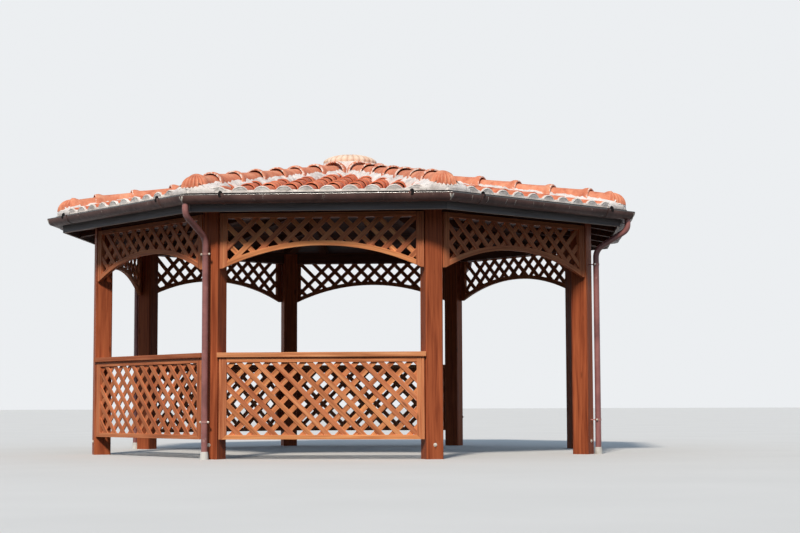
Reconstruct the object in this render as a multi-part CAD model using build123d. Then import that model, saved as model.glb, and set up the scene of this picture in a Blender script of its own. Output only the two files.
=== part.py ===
"""Eight-sided timber garden gazebo with lattice panels, arched valances and a low tiled roof.

Millimetres. The origin is on the ground at the centre of the plan, +Z is up, and the front bay
faces -Y. A bay is described in the front position, where its outward distance from the centre,
its reach, is -Y. A corner is described in the position at the right end of the front bay.
"""
import math
import os

from build123d import *

# Plan
SIDES = 8
BAY_TURN = 360.0 / SIDES
HALF_TURN = math.radians(BAY_TURN / 2)
POST_REACH = 2500.0
BAY_NAMES = ("front", "right_front", "right", "right_back", "back", "left_back", "left", "left_front")
POST_NAMES = (
    "front_right",
    "right_front",
    "right_back",
    "back_right",
    "back_left",
    "left_back",
    "left_front",
    "front_left",
)
RAILED_BAYS = ("front", "left_front", "left_back", "back")
DRAINED_POSTS = ("front_left", "right_front", "back_right", "left_back")
FIT_GAP = 0.3

# Posts and ring beam
POST_WIDTH = 170.0
POST_CHAMFER = 9.0
POST_HEIGHT = 2400.0
BEAM_WIDTH = 100.0
BEAM_HEIGHT = 130.0
BEAM_RISE = 12.0

# Framed lattice panels
PANEL_SETBACK = 3.0
FRAME_THICKNESS = 40.0
STILE_WIDTH = 72.0
STILE_GROOVE_OFFSET = 26.0
STILE_GROOVE_WIDTH = 3.0
STILE_GROOVE_DEPTH = 5.0
SLAT_WIDTH = 46.0
SLAT_THICKNESS = 12.0
SLAT_SPACING = 168.0
SLAT_RECESS = 8.0
SLAT_BITE = 10.0

# Railing panel and handrail
RAILING_BOTTOM = 186.0
RAILING_BOTTOM_RAIL = 42.0
RAILING_TOP_RAIL = 48.0
HANDRAIL_TOP = 1004.0
HANDRAIL_HEIGHT = 46.0
HANDRAIL_DEPTH = 96.0
HANDRAIL_OVERHANG = 24.0
RAILING_PHASE_X = 87.0
RAILING_PHASE_Z = 56.0

# Arched valance
VALANCE_DROP = 482.0
VALANCE_TOP_RAIL = 46.0
ARCH_RISE = 214.0
ARCH_WIDTH = 46.0
ARCH_FOOT = 26.0
VALANCE_PHASE_X = 22.0
VALANCE_PHASE_Z = 11.0

# Roof timber
ROOF_PITCH = 10.6
EAVES_PROJECTION = 394.0
FASCIA_THICKNESS = 25.0
FASCIA_HEIGHT = 130.0
BOARD_THICKNESS = 22.0
BOARD_GAP = 4.0
RAFTER_WIDTH = 80.0
RAFTER_DEPTH = 100.0
RAFTER_NOTCH = 24.0
RAFTER_SHARE = 0.29
RAFTERS_PER_BAY = 3
HIP_WIDTH = 100.0
HIP_EXTRA_DEPTH = 10.0
HUB_MARGIN = 22.0
HUB_LENGTH = 330.0
HUB_POINT = 60.0

# Tile covering
TILE_DEPTH = 105.0
TILE_OVERHANG = 60.0
TILE_JOINT = 2.0
ROLL_SPACING = 206.0
ROLL_WIDTH = 168.0
ROLL_CROWN_WIDTH = 52.0
ROLL_SHOULDER_WIDTH = 124.0
ROLL_SHOULDER_SHARE = 0.64
PAN_DEPTH = 52.0
HIP_MORTAR_WIDTH = 310.0
RIDGE_RADIUS = 108.0
RIDGE_LIFT = 7.0
APEX_BED_MARGIN = 20.0
APEX_BED_COVER = 3.5
CAP_RADIUS = 300.0
CAP_HEIGHT = 112.0
CAP_RIM = 26.0
CAP_FLUTES = 16
CAP_FLUTE_DEPTH = 9.0
CAP_FLUTE_SHARE = 0.8
CAP_FLUTE_START = 0.15

# Rainwater goods
GUTTER_RADIUS = 75.0
GUTTER_WALL = 2.0
GUTTER_LIP_RISE = 9.0
GUTTER_BEAD = 6.0
GUTTER_SEAM = 1.5
GUTTER_BACK_DROP = 15.0
BRACKET_WIDTH = 26.0
BRACKET_THICKNESS = 4.0
BRACKET_SHARE = 0.42
BRACKET_SIDES = 24
CLIP_HEIGHT = 12.0
CLIP_DEPTH = 26.0
PIPE_RADIUS = 30.0
PIPE_WALL = 2.0
PIPE_STANDOFF = 78.0
PIPE_FOOT = 30.0
PIPE_SIDES = 16
NECK_DROP = 99.0
NECK_HEIGHT = 190.0
LOWER_HOLDER = 350.0
UPPER_HOLDER_DROP = 150.0
HOLDER_BAND = 3.0
HOLDER_HEIGHT = 22.0
HOLDER_STEM = 10.0
HOLDER_EAR = 14.0
SOCKET_HEIGHT = 73.0
SOCKET_TOP_RADIUS = 36.0
SOCKET_BOTTOM_RADIUS = 43.0

# Worked out from the sizes above
POST_RADIUS = POST_REACH / math.cos(HALF_TURN)
POST_FACE_RADIUS = POST_RADIUS + POST_WIDTH / 2
BAY_LENGTH = 2.0 * POST_REACH * math.tan(HALF_TURN)
BEAM_TOP = POST_HEIGHT + BEAM_RISE
BEAM_BOTTOM = BEAM_TOP - BEAM_HEIGHT
PITCH_RISE = math.tan(math.radians(ROOF_PITCH))
HIP_RISE = PITCH_RISE * math.cos(HALF_TURN)
FASCIA_REACH = POST_REACH + EAVES_PROJECTION
FASCIA_INSIDE = FASCIA_REACH - FASCIA_THICKNESS
TILE_REACH = FASCIA_REACH + TILE_OVERHANG
FAR = 2.0 * TILE_REACH
HUB_REACH = HIP_WIDTH / (2.0 * math.tan(HALF_TURN)) + HUB_MARGIN
HUB_RADIUS = HUB_REACH / math.cos(HALF_TURN)
GUTTER_CENTRE = FASCIA_REACH + GUTTER_RADIUS
OUTLET_RADIUS = GUTTER_CENTRE / math.cos(HALF_TURN)
APEX_BED_REACH = RIDGE_RADIUS / math.tan(HALF_TURN) + APEX_BED_MARGIN


def roof_level(eave_level, reach):
    """Height of a roof plane at a reach, from its height above the fascia's outer face."""
    return eave_level + (FASCIA_REACH - reach) * PITCH_RISE


def post_corner(side):
    """Reach and half width of the bay at a post's edges beside the bay: 1 outside, -1 inside."""
    half = POST_WIDTH / 2
    reach = POST_REACH + half * (side * math.cos(HALF_TURN) + math.sin(HALF_TURN))
    along = POST_RADIUS * math.sin(HALF_TURN) + half * (side * math.sin(HALF_TURN) - math.cos(HALF_TURN))
    return reach, along


def clear_half_width(reach):
    """Half the clear width between the two posts of a bay at a reach."""
    outside_reach, outside_along = post_corner(1)
    return outside_along - (outside_reach - min(reach, outside_reach)) * math.tan(HALF_TURN)


PANEL_FACE = post_corner(1)[0] - PANEL_SETBACK
PANEL_BACK = PANEL_FACE - FRAME_THICKNESS
PANEL_HALF = clear_half_width(PANEL_BACK) - FIT_GAP
FIELD_HALF = PANEL_HALF - STILE_WIDTH
VALANCE_TOP = BEAM_BOTTOM + VALANCE_TOP_RAIL
VALANCE_BOTTOM = BEAM_BOTTOM - VALANCE_DROP
RAILING_TOP = HANDRAIL_TOP - HANDRAIL_HEIGHT

# Levels of the roof, from the rafters' seat on the ring beam
BEAM_MIDDLE = PANEL_BACK - BEAM_WIDTH / 2
DECK_EAVE = BEAM_TOP - RAFTER_NOTCH + RAFTER_DEPTH - (FASCIA_REACH - BEAM_MIDDLE) * PITCH_RISE
DECK_TOP_AT_EAVE = DECK_EAVE + BOARD_THICKNESS
TILE_TOP_AT_EAVE = DECK_TOP_AT_EAVE + TILE_DEPTH
HIP_DEPTH = RAFTER_DEPTH + HIP_EXTRA_DEPTH
FASCIA_BOTTOM = DECK_TOP_AT_EAVE - FASCIA_HEIGHT
RIDGE_CROWN = RIDGE_LIFT + RIDGE_RADIUS * math.hypot(1.0, HIP_RISE) - APEX_BED_REACH * HIP_RISE
APEX_BED_TOP = roof_level(TILE_TOP_AT_EAVE, 0) + RIDGE_CROWN + APEX_BED_COVER

# Levels of the rainwater goods, down from the gutter's lip
GUTTER_LIP = DECK_TOP_AT_EAVE + GUTTER_LIP_RISE
NECK_TOP = GUTTER_LIP - GUTTER_RADIUS - NECK_DROP
NECK_BOTTOM = NECK_TOP - NECK_HEIGHT
HOLDER_HEIGHTS = (LOWER_HOLDER, NECK_BOTTOM - UPPER_HOLDER_DROP)
PIPE_AXIS = POST_FACE_RADIUS + PIPE_STANDOFF


def cross_section(points, half_length):
    """Solid with a (reach, height) outline that runs along the bay."""
    outline = Polygon(*[(-reach, height) for reach, height in points], align=None)
    return extrude(Plane.YZ * outline, half_length, both=True)


def elevation(sketch, face, thickness):
    """Solid with an (along, height) outline, from its outer face at a reach inwards."""
    return extrude(Plane.XZ.offset(face) * sketch, -thickness)


def upright(sketch, bottom, top):
    """Vertical prism over a plan outline."""
    return Pos(0, 0, bottom) * extrude(sketch, top - bottom)


def bay_sector(gap, reach=FAR):
    """Plan of the front bay between the hip lines, kept half a gap from each of them."""
    start = gap / (2.0 * math.sin(HALF_TURN))
    half = (reach - start) * math.tan(HALF_TURN)
    return Polygon((0, -start), (-half, -reach), (half, -reach), align=None)


def trim_to_bay(solid, gap):
    """Cuts a bay's piece with mitres on both hip lines."""
    return solid & upright(bay_sector(gap), 0, FAR)


def octagon(reach, turned):
    """Plan of a regular octagon with flats to the bays, or to the corners if turned."""
    radius = reach / math.cos(HALF_TURN)
    start = 0.0 if turned else BAY_TURN / 2
    corners = [math.radians(start + BAY_TURN * n) for n in range(SIDES)]
    return Polygon(*[(radius * math.cos(t), radius * math.sin(t)) for t in corners], align=None)


def under_roof(eave_level, reach):
    """Everything below a set of roof planes and inside a reach from the centre."""
    body = upright(octagon(reach, False), 0, roof_level(eave_level, 0))
    over = cross_section(
        [
            (0, roof_level(eave_level, 0)),
            (reach + FAR, roof_level(eave_level, reach + FAR)),
            (reach + FAR, FAR),
            (0, FAR),
        ],
        FAR,
    )
    wedge = trim_to_bay(over, 0)
    for n in range(SIDES):
        body -= Rot(0, 0, BAY_TURN * n) * wedge
    return body


def around(solid, n):
    """A front bay's piece, or a corner's piece, turned to the n-th place."""
    return Rot(0, 0, BAY_TURN * n) * solid


def at_corner(solid):
    """A piece made along +X, moved to the corner at the right end of the front bay."""
    return Rot(0, 0, BAY_TURN / 2 - 90.0) * solid


def radial_section(points, half_width):
    """Solid along +X with a (radius, height) outline."""
    return extrude(Plane.XZ * Polygon(*points, align=None), half_width, both=True)


# Timber frame
def make_post():
    """Square post with planed-off edges, its faces square to the corner's radius."""
    section = chamfer(Rectangle(POST_WIDTH, POST_WIDTH).vertices(), POST_CHAMFER)
    return at_corner(Pos(POST_RADIUS, 0, 0) * extrude(section, POST_HEIGHT))


def make_beam():
    """Beam that joins two posts behind the valance's top rail."""
    outside = PANEL_BACK
    inside = outside - BEAM_WIDTH
    plan = Polygon(
        (-clear_half_width(outside) + FIT_GAP, -outside),
        (clear_half_width(outside) - FIT_GAP, -outside),
        (clear_half_width(inside) - FIT_GAP, -inside),
        (-clear_half_width(inside) + FIT_GAP, -inside),
        align=None,
    )
    return upright(plan, BEAM_BOTTOM, BEAM_TOP)


def make_hub():
    """Octagonal block with a pointed foot that the hip rafters meet at."""
    top = roof_level(DECK_EAVE, HUB_RADIUS)
    block = upright(octagon(HUB_REACH, True), top - HUB_LENGTH, top)
    return chamfer(block.faces().sort_by(Axis.Z)[0].edges(), HUB_POINT)


def make_hip_rafter(shelter, post):
    """Corner rafter from the hub to the fascia, backed to both slopes and seated on its post."""
    end = FASCIA_REACH / math.cos(HALF_TURN)
    blank = at_corner(
        radial_section(
            [
                (HUB_REACH, roof_level(DECK_EAVE, HUB_REACH * math.cos(HALF_TURN)) - HIP_DEPTH),
                (end, roof_level(DECK_EAVE, FASCIA_REACH) - HIP_DEPTH),
                (end, FAR),
                (HUB_REACH, FAR),
            ],
            HIP_WIDTH / 2,
        )
    )
    return (blank & shelter) - post


def make_rafter(place, beam):
    """Common or jack rafter, cut against the hip rafters and notched over the ring beam."""
    start = HUB_RADIUS + FIT_GAP
    points = [
        (start, roof_level(DECK_EAVE, start) - RAFTER_DEPTH),
        (FASCIA_INSIDE, roof_level(DECK_EAVE, FASCIA_INSIDE) - RAFTER_DEPTH),
        (FASCIA_INSIDE, roof_level(DECK_EAVE, FASCIA_INSIDE)),
        (start, roof_level(DECK_EAVE, start)),
    ]
    blank = Pos(place * RAFTER_SHARE * BAY_LENGTH, 0, 0) * cross_section(points, RAFTER_WIDTH / 2)
    return trim_to_bay(blank, HIP_WIDTH) - beam


def make_boards():
    """Boarding of one slope, as a slab, open along the hips."""
    points = [
        (0, roof_level(DECK_EAVE, 0)),
        (FASCIA_INSIDE, roof_level(DECK_EAVE, FASCIA_INSIDE)),
        (FASCIA_INSIDE, roof_level(DECK_TOP_AT_EAVE, FASCIA_INSIDE)),
        (0, roof_level(DECK_TOP_AT_EAVE, 0)),
    ]
    return trim_to_bay(cross_section(points, FAR), BOARD_GAP)


def make_fascia():
    """Eaves board over the ends of the rafters and boarding, with a bevelled top."""
    points = [
        (FASCIA_INSIDE, FASCIA_BOTTOM),
        (FASCIA_REACH, FASCIA_BOTTOM),
        (FASCIA_REACH, DECK_TOP_AT_EAVE),
        (FASCIA_INSIDE, roof_level(DECK_TOP_AT_EAVE, FASCIA_INSIDE)),
    ]
    return trim_to_bay(cross_section(points, FAR), TILE_JOINT)


# Framed lattice
def slat_layer(field, first_x, first_z, rising):
    """One layer of parallel slats, clipped to a field."""
    turn = 45.0 if rising else -45.0
    box = field.bounding_box()
    reach = box.size.X + box.size.Y
    count = int(reach / SLAT_SPACING) + 2
    strips = Sketch()
    for n in range(-count, count + 1):
        along = first_x + n * SLAT_SPACING
        strips += Pos(along, first_z) * Rot(0, 0, turn) * Rectangle(3.0 * reach, SLAT_WIDTH)
    return strips & field


def add_lattice(frame, field, hole_x, hole_z, rising_in_front):
    """Fuses two crossed layers of slats into a frame, with a hole centred on (hole_x, hole_z)."""
    face = PANEL_FACE - SLAT_RECESS
    slat_x = hole_x + SLAT_SPACING / 2
    front = elevation(slat_layer(field, slat_x, hole_z, rising_in_front), face, SLAT_THICKNESS)
    behind = slat_layer(field, slat_x, hole_z, not rising_in_front)
    back = elevation(behind, face - SLAT_THICKNESS, SLAT_THICKNESS)
    return frame + front + back


def groove_stiles(frame, bottom, top):
    """Runs the groove between the fixing strip and the stile down both sides of a frame."""
    middle = PANEL_HALF - STILE_GROOVE_OFFSET
    for side in (-1, 1):
        strip = Pos(side * middle, (bottom + top) / 2) * Rectangle(STILE_GROOVE_WIDTH, 2 * (top - bottom))
        frame -= elevation(strip, PANEL_FACE, STILE_GROOVE_DEPTH)
    return frame


def rectangle_between(half_width, bottom, top):
    """Rectangle in elevation, centred on the bay."""
    return Pos(0, (bottom + top) / 2) * Rectangle(2 * half_width, top - bottom)


def make_railing():
    """Waist-high framed lattice panel."""
    low = RAILING_BOTTOM + RAILING_BOTTOM_RAIL
    high = RAILING_TOP - RAILING_TOP_RAIL
    outline = rectangle_between(PANEL_HALF, RAILING_BOTTOM, RAILING_TOP)
    frame = elevation(outline - rectangle_between(FIELD_HALF, low, high), PANEL_FACE, FRAME_THICKNESS)
    frame = groove_stiles(frame, RAILING_BOTTOM, RAILING_TOP)
    field = rectangle_between(FIELD_HALF + SLAT_BITE, low - SLAT_BITE, high + SLAT_BITE)
    return add_lattice(frame, field, RAILING_PHASE_X - FIELD_HALF, high - RAILING_PHASE_Z, False)


def make_handrail():
    """Flat rail on top of a railing, cut to the faces of its two posts."""
    outside = PANEL_FACE + HANDRAIL_OVERHANG
    inside = outside - HANDRAIL_DEPTH
    corner = post_corner(1)[0]
    half = clear_half_width(corner) - FIT_GAP
    inner_half = clear_half_width(inside) - FIT_GAP
    plan = Polygon(
        (-half, -outside),
        (half, -outside),
        (half, -corner),
        (inner_half, -inside),
        (-inner_half, -inside),
        (-half, -corner),
        align=None,
    )
    return upright(plan, RAILING_TOP, HANDRAIL_TOP)


def arch_disc(offset):
    """Disc whose upper edge is the arch's lower edge, moved up by an offset."""
    half_chord = PANEL_HALF - ARCH_FOOT
    radius = (half_chord**2 + ARCH_RISE**2) / (2.0 * ARCH_RISE)
    return Pos(0, VALANCE_BOTTOM + ARCH_RISE - radius) * Circle(radius + offset)


def make_valance(rising_in_front):
    """Framed lattice panel under the ring beam, with an arched lower rail."""
    high = BEAM_BOTTOM
    outline = rectangle_between(PANEL_HALF, VALANCE_BOTTOM, VALANCE_TOP) - arch_disc(0)
    opening = rectangle_between(FIELD_HALF, VALANCE_BOTTOM, high) - arch_disc(ARCH_WIDTH)
    frame = elevation(outline - opening, PANEL_FACE, FRAME_THICKNESS)
    frame = groove_stiles(frame, VALANCE_BOTTOM, VALANCE_TOP)
    field = rectangle_between(FIELD_HALF + SLAT_BITE, VALANCE_BOTTOM, high + SLAT_BITE)
    field -= arch_disc(ARCH_WIDTH - SLAT_BITE)
    return add_lattice(frame, field, VALANCE_PHASE_X - FIELD_HALF, high - VALANCE_PHASE_Z, rising_in_front)


# Tile covering
def make_tiles():
    """Covering of one slope, with a pan groove between each two rolls of barrel tiles."""
    points = [
        (0, roof_level(DECK_TOP_AT_EAVE, 0)),
        (TILE_REACH, roof_level(DECK_TOP_AT_EAVE, TILE_REACH)),
        (TILE_REACH, roof_level(TILE_TOP_AT_EAVE, TILE_REACH)),
        (0, roof_level(TILE_TOP_AT_EAVE, 0)),
    ]
    slab = cross_section(points, FAR)
    pan_half = (ROLL_SPACING - ROLL_WIDTH) / 2
    shoulder_half = (ROLL_SPACING - ROLL_SHOULDER_WIDTH) / 2
    crown_half = (ROLL_SPACING - ROLL_CROWN_WIDTH) / 2
    shoulder = PAN_DEPTH + ROLL_SHOULDER_SHARE * (TILE_DEPTH - PAN_DEPTH)
    groove = Polygon(
        (-pan_half, PAN_DEPTH),
        (pan_half, PAN_DEPTH),
        (shoulder_half, shoulder),
        (crown_half, TILE_DEPTH),
        (crown_half, 2 * TILE_DEPTH),
        (-crown_half, 2 * TILE_DEPTH),
        (-crown_half, TILE_DEPTH),
        (-shoulder_half, shoulder),
        align=None,
    )
    count = int(TILE_REACH * math.tan(HALF_TURN) / ROLL_SPACING)
    eave = roof_level(DECK_TOP_AT_EAVE, TILE_REACH)
    grooves = Sketch()
    for n in range(-count, count + 1):
        grooves += Pos(n * ROLL_SPACING, eave) * groove
    up_slope = (0, 1, PITCH_RISE)
    cutter = extrude(Plane.XZ.offset(TILE_REACH) * grooves, FAR / 2, dir=up_slope)
    slab -= trim_to_bay(cutter, HIP_MORTAR_WIDTH)
    return trim_to_bay(slab, TILE_JOINT)


def make_ridge(covering):
    """Hip covering along one corner line, with a rounded shell at the eaves end."""
    end = TILE_REACH / math.cos(HALF_TURN) - RIDGE_RADIUS
    low = roof_level(TILE_TOP_AT_EAVE, end * math.cos(HALF_TURN)) + RIDGE_LIFT
    high = roof_level(TILE_TOP_AT_EAVE, 0) + RIDGE_LIFT
    path = Line((end, 0, low), (0, 0, high))
    start = Plane(origin=(end, 0, low), z_dir=path % 0)
    barrel = extrude(start * Circle(RIDGE_RADIUS), path.length)
    nose = Pos(end, 0, low) * Sphere(RIDGE_RADIUS)
    bed = upright(octagon(APEX_BED_REACH, True), 0, FAR)
    return at_corner(barrel + nose) - covering - bed


def make_apex_bed(covering):
    """Mortar bed in the middle of the roof, with a flat against the end of each hip covering."""
    return upright(octagon(APEX_BED_REACH, True), DECK_EAVE, APEX_BED_TOP) - covering


def make_cap():
    """Shallow fluted dome on the apex."""
    radius = (CAP_RADIUS**2 + (CAP_HEIGHT - CAP_RIM) ** 2) / (2.0 * (CAP_HEIGHT - CAP_RIM))
    dome = Pos(0, 0, APEX_BED_TOP + CAP_HEIGHT - radius) * Sphere(radius)
    drum = Pos(0, 0, APEX_BED_TOP + CAP_HEIGHT / 2) * Cylinder(CAP_RADIUS, CAP_HEIGHT)
    cap = dome & drum
    groove_radius = CAP_FLUTE_SHARE * math.pi * CAP_RADIUS / CAP_FLUTES
    line = Line(
        (CAP_FLUTE_START * CAP_RADIUS, 0, APEX_BED_TOP + CAP_HEIGHT + groove_radius),
        (CAP_RADIUS + groove_radius, 0, APEX_BED_TOP + CAP_RIM + groove_radius - CAP_FLUTE_DEPTH),
    )
    groove = extrude(Plane(origin=line @ 0, z_dir=line % 0) * Circle(groove_radius), line.length)
    for n in range(CAP_FLUTES):
        cap -= Rot(0, 0, 360.0 * n / CAP_FLUTES) * groove
    return cap


# Rainwater goods
def gutter_profile(ring):
    """Lower half of a disc or ring round the gutter's centre, with the back edge under the tiles."""
    size = 4.0 * GUTTER_RADIUS
    above = Pos(0, size / 2) * Rectangle(size, size)
    behind = Pos(size / 2, size / 2 - GUTTER_BACK_DROP) * Rectangle(size, size)
    return Pos(-GUTTER_CENTRE, GUTTER_LIP) * (ring - above - behind)


def make_gutter(holes):
    """Half-round gutter length with a rolled front edge, mitred at both corners."""
    profile = gutter_profile(Circle(GUTTER_RADIUS) - Circle(GUTTER_RADIUS - GUTTER_WALL))
    bead = Pos(-GUTTER_CENTRE - GUTTER_RADIUS + GUTTER_BEAD, GUTTER_LIP) * RegularPolygon(GUTTER_BEAD, 8)
    length = trim_to_bay(extrude(Plane.YZ * (profile + bead), FAR, both=True), GUTTER_SEAM)
    for hole in holes:
        length -= hole
    return length


def gutter_body():
    """The gutter's outer form at one corner, filled in."""
    half = trim_to_bay(extrude(Plane.YZ * gutter_profile(Circle(GUTTER_RADIUS)), FAR, both=True), 0)
    return half + Rot(0, 0, BAY_TURN) * half


def make_outlet():
    """Hole in the bottom of the gutter at a corner."""
    drill = Cylinder(PIPE_RADIUS - PIPE_WALL, GUTTER_RADIUS)
    return at_corner(Pos(OUTLET_RADIUS, 0, GUTTER_LIP - GUTTER_RADIUS) * drill)


def make_bracket(side):
    """Strap under the gutter with a clip over its front edge."""
    room = GUTTER_RADIUS + FIT_GAP
    turn = 180.0 / BRACKET_SIDES
    inner = RegularPolygon(room, BRACKET_SIDES, major_radius=False, rotation=turn)
    outer = RegularPolygon(room + BRACKET_THICKNESS, BRACKET_SIDES, major_radius=False, rotation=turn)
    strap = gutter_profile(outer - inner)
    behind = Pos(-FASCIA_REACH + GUTTER_RADIUS, GUTTER_LIP) * Rectangle(2 * GUTTER_RADIUS, 4 * GUTTER_RADIUS)
    corner = (Align.MIN, Align.MIN)
    outside = -GUTTER_CENTRE - room - BRACKET_THICKNESS
    clip = Pos(outside, GUTTER_LIP) * Rectangle(CLIP_DEPTH, CLIP_HEIGHT, align=corner)
    lip_room = Rectangle(CLIP_DEPTH, GUTTER_BEAD + FIT_GAP, align=corner)
    clip -= Pos(outside + BRACKET_THICKNESS, GUTTER_LIP) * lip_room
    section = Plane.YZ * (strap - behind + clip)
    return Pos(side * BRACKET_SHARE * BAY_LENGTH, 0, 0) * extrude(section, BRACKET_WIDTH / 2, both=True)


def pipe_run():
    """Centre line of a rainwater pipe along +X, from the gutter's outlet to the ground."""
    return Polyline(
        (OUTLET_RADIUS, 0, GUTTER_LIP - GUTTER_RADIUS / 2),
        (OUTLET_RADIUS, 0, NECK_TOP),
        (PIPE_AXIS, 0, NECK_BOTTOM),
        (PIPE_AXIS, 0, PIPE_FOOT),
    )


def pipe_disc(radius):
    """Many-sided disc that stands for a circle in the small round pieces."""
    return RegularPolygon(radius, PIPE_SIDES)


def make_pipe(gutter_form):
    """Rainwater pipe with a swan neck, saddled to the underside of the gutter."""
    path = pipe_run()
    ring = pipe_disc(PIPE_RADIUS) - pipe_disc(PIPE_RADIUS - PIPE_WALL)
    tube = sweep(Plane(origin=path @ 0, z_dir=path % 0) * ring, path=path, transition=Transition.RIGHT)
    return at_corner(tube) - gutter_form


def make_holder(height):
    """Two-eared band round a pipe, on a stem fixed to the post."""
    inner = PIPE_RADIUS + FIT_GAP
    outer = inner + HOLDER_BAND
    section = pipe_disc(outer) + Rectangle(2 * HOLDER_BAND, 2 * (outer + HOLDER_EAR)) - pipe_disc(inner)
    band = Pos(PIPE_AXIS, 0, height - HOLDER_HEIGHT / 2) * extrude(section, HOLDER_HEIGHT)
    stem_length = PIPE_STANDOFF - inner - HOLDER_BAND / 2
    stem = Pos(POST_FACE_RADIUS + stem_length / 2, 0, height)
    stem *= Box(stem_length, HOLDER_STEM, HOLDER_STEM)
    return at_corner(band + stem)


def make_socket():
    """Flared drain socket that takes the foot of a pipe."""
    foot = pipe_disc(SOCKET_BOTTOM_RADIUS)
    mouth = Pos(0, 0, SOCKET_HEIGHT) * pipe_disc(SOCKET_TOP_RADIUS)
    bore = upright(pipe_disc(PIPE_RADIUS + FIT_GAP), PIPE_FOOT, 2 * SOCKET_HEIGHT)
    return at_corner(Pos(PIPE_AXIS, 0, 0) * (loft([foot, mouth], ruled=True) - bore))


def write(name, *solids):
    """Writes one node, with all its separate solids."""
    pieces = [piece for solid in solids for piece in solid.solids()]
    shape = solids[0] if len(pieces) == 1 else Compound(children=pieces)
    export_step(shape, os.path.join("parts", name + ".step"))


def main():
    os.makedirs("parts", exist_ok=True)
    bays = range(SIDES)
    drained = [n for n in bays if POST_NAMES[n] in DRAINED_POSTS]

    post = make_post()
    for n in bays:
        write("post_" + POST_NAMES[n], around(post, n))
    beam = make_beam()
    write("ring_beams", *[around(beam, n) for n in bays])

    shelter = under_roof(DECK_EAVE, FASCIA_INSIDE)
    hip = make_hip_rafter(shelter, post)
    write("hip_rafters", *[around(hip, n) for n in bays])
    middle = (RAFTERS_PER_BAY - 1) / 2
    rafters = [make_rafter(n - middle, beam) for n in range(RAFTERS_PER_BAY)]
    write("rafters", *[around(rafter, n) for rafter in rafters for n in bays])
    write("rafter_hub", make_hub())
    boards = make_boards()
    write("roof_boards", *[around(boards, n) for n in bays])
    fascia = make_fascia()
    write("fascia_boards", *[around(fascia, n) for n in bays])

    railing = make_railing()
    handrail = make_handrail()
    for n in bays:
        if BAY_NAMES[n] in RAILED_BAYS:
            write("railing_" + BAY_NAMES[n], around(railing, n))
    write("handrails", *[around(handrail, n) for n in bays if BAY_NAMES[n] in RAILED_BAYS])
    valances = [make_valance(True), make_valance(False)]
    for n in bays:
        write("valance_" + BAY_NAMES[n], around(valances[n % 2], n))

    covering = under_roof(TILE_TOP_AT_EAVE, TILE_REACH)
    tiles = make_tiles()
    for n in bays:
        write("roof_tiles_" + BAY_NAMES[n], around(tiles, n))
    ridge = make_ridge(covering)
    write("hip_ridges", *[around(ridge, n) for n in bays])
    write("apex_bed", make_apex_bed(covering))
    write("apex_cap", make_cap())

    outlet = make_outlet()
    ends = [make_gutter([around(outlet, -1)]), make_gutter([outlet])]
    write("gutter", *[around(ends[1 if n in drained else 0], n) for n in bays])
    write("gutter_brackets", *[around(make_bracket(side), n) for side in (-1, 1) for n in bays])
    pipe = make_pipe(gutter_body())
    write("rain_pipes", *[around(pipe, n) for n in drained])
    write("pipe_holders", *[around(make_holder(height), n) for height in HOLDER_HEIGHTS for n in drained])
    write("drain_sockets", *[around(make_socket(), n) for n in drained])


main()
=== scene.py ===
import random
from math import asin, cos, pi, radians, sin, sqrt, tan

import bmesh
import bpy
from mathutils import Matrix, Vector, noise


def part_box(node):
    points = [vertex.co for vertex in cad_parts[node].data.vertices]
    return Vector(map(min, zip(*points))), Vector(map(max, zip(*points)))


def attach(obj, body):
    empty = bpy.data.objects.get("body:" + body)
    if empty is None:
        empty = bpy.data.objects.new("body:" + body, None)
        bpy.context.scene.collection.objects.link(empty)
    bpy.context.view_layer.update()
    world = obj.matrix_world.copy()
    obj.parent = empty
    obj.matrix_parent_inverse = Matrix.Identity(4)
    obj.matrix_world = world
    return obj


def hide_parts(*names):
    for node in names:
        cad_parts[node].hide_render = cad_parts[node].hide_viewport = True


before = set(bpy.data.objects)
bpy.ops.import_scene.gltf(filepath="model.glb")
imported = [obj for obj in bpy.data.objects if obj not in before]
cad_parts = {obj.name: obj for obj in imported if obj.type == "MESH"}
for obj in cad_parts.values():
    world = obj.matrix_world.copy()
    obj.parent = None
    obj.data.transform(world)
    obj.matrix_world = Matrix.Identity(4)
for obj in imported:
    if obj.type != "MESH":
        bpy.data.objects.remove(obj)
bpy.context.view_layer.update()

random.seed(11)

# Bays are counted from the front, and corners from the one to its right
SIDES = 8
TURN = radians(360 / SIDES)
HALF = TURN / 2
BAYS = ("front", "right_front", "right", "right_back", "back", "left_back", "left", "left_front")
RAILED = ("front", "left_front", "left_back", "back")
DRAINED = (1, 3, 5, 7)

# Posts and panels in metres, as in the part's source
FIT_GAP = 0.0003
POST_REACH = 2.5
POST_WIDTH = 0.17
PANEL_SETBACK = 0.003
FRAME_THICKNESS = 0.04
STILE_WIDTH = 0.072
GROOVE_OFFSET = 0.026
GROOVE_WIDTH = 0.003
GROOVE_DEPTH = 0.005
SLAT_WIDTH = 0.046
SLAT_THICKNESS = 0.012
SLAT_SPACING = 0.168
SLAT_RECESS = 0.008
RAILING_BOTTOM = 0.186
RAILING_TOP = 0.958
RAILING_BOTTOM_RAIL = 0.042
RAILING_TOP_RAIL = 0.048
RAILING_PHASE_X = 0.087
RAILING_PHASE_Z = 0.056
VALANCE_BOTTOM = 1.8
VALANCE_TOP = 2.328
BEAM_BOTTOM = 2.282
VALANCE_PHASE_X = 0.022
VALANCE_PHASE_Z = 0.011
ARCH_RISE = 0.214
ARCH_WIDTH = 0.046
ARCH_FOOT = 0.026

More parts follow.
